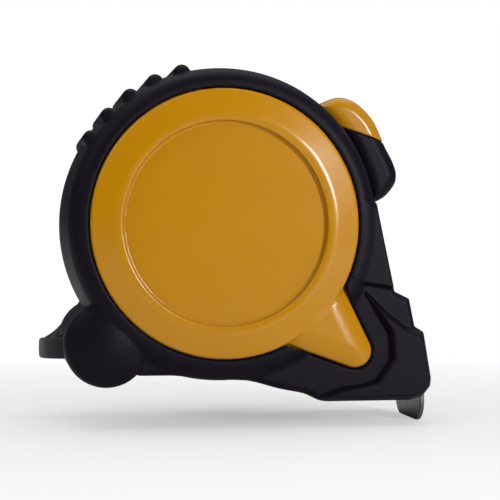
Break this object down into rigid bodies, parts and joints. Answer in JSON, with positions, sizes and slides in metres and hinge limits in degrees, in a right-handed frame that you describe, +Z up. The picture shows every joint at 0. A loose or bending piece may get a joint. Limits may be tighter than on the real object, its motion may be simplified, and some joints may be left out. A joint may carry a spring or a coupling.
{
  "type": "tape measure",
  "caption": "Pocket tape measure: rubber-jacketed round case with side discs, thumb lock, end hook, spring reel, belt clip and wrist strap.",
  "frame": {"origin": "middle of the box's base, level with the end hook's tip, the wrist strap left out", "axes": "+X towards the mouth, the way the tape pulls out; +Y towards the left side, which has the belt clip; +Z up, from the nose's underside to the top of the case"},
  "size_m": [0.0753, 0.044, 0.0694],
  "materials": {
    "yellow_plastic": "glossy golden-yellow moulded plastic",
    "black_rubber": "satin black overmoulded rubber",
    "hook_steel": "bright zinc-plated steel",
    "clip_steel": "satin nickel-plated spring steel",
    "screw_steel": "zinc-plated steel",
    "spring_steel": "blued spring steel",
    "tape_enamel": "pale yellow enamel on steel tape",
    "black_nylon": "matt black nylon",
    "liner_plastic": "thin off-white plastic",
    "strap_webbing": "black woven nylon"
  },
  "bodies": {
    "case": {"right_case_shell": "yellow_plastic", "left_case_shell": "yellow_plastic", "right_rubber_jacket": "black_rubber", "left_rubber_jacket": "black_rubber", "centre_post": "black_nylon", "case_screws": "screw_steel", "mouth_guide": "clip_steel", "hook_bumper": "black_rubber", "strap_pin": "screw_steel", "wrist_strap": "strap_webbing", "belt_clip": "clip_steel", "belt_clip_screw": "screw_steel", "power_spring": "spring_steel", "slip_discs": "liner_plastic", "lock_detent_spring": "spring_steel"},
    "reel": {"reel_drum": "black_nylon", "reel_cover": "black_nylon", "blade_coil": "tape_enamel"},
    "blade": {"blade_tongue": "tape_enamel", "hook_rivets": "hook_steel"},
    "hook": {"end_hook": "hook_steel"},
    "lock": {"lock_button": "yellow_plastic", "lock_grip": "black_rubber", "lock_slide": "black_nylon", "brake_pad": "black_rubber"}
  },
  "joints": [
    {"name": "blade_pull", "type": "slide", "parent": "case", "child": "blade", "axis": [1, 0, 0], "range_m": [0, 0.035], "stiffness_N_per_m": 15, "springref_m": -0.05},
    {"name": "reel_spin", "type": "hinge", "parent": "case", "child": "reel", "pos_m": [-0.00515, -0.0026, 0.03885], "axis": [0, 1, 0], "range_deg": [-90, 0]},
    {"name": "hook_play", "type": "slide", "parent": "blade", "child": "hook", "axis": [1, 0, 0], "range_m": [0, 0.0009]},
    {"name": "lock_slide", "type": "hinge", "parent": "case", "child": "lock", "pos_m": [-0.00515, -0.0026, 0.03885], "axis": [0, 1, 0], "range_deg": [0, 9]}
  ],
  "couplings": [
    {"joint": "reel_spin", "follows": "blade_pull", "rad_per_m": -40}
  ]
}
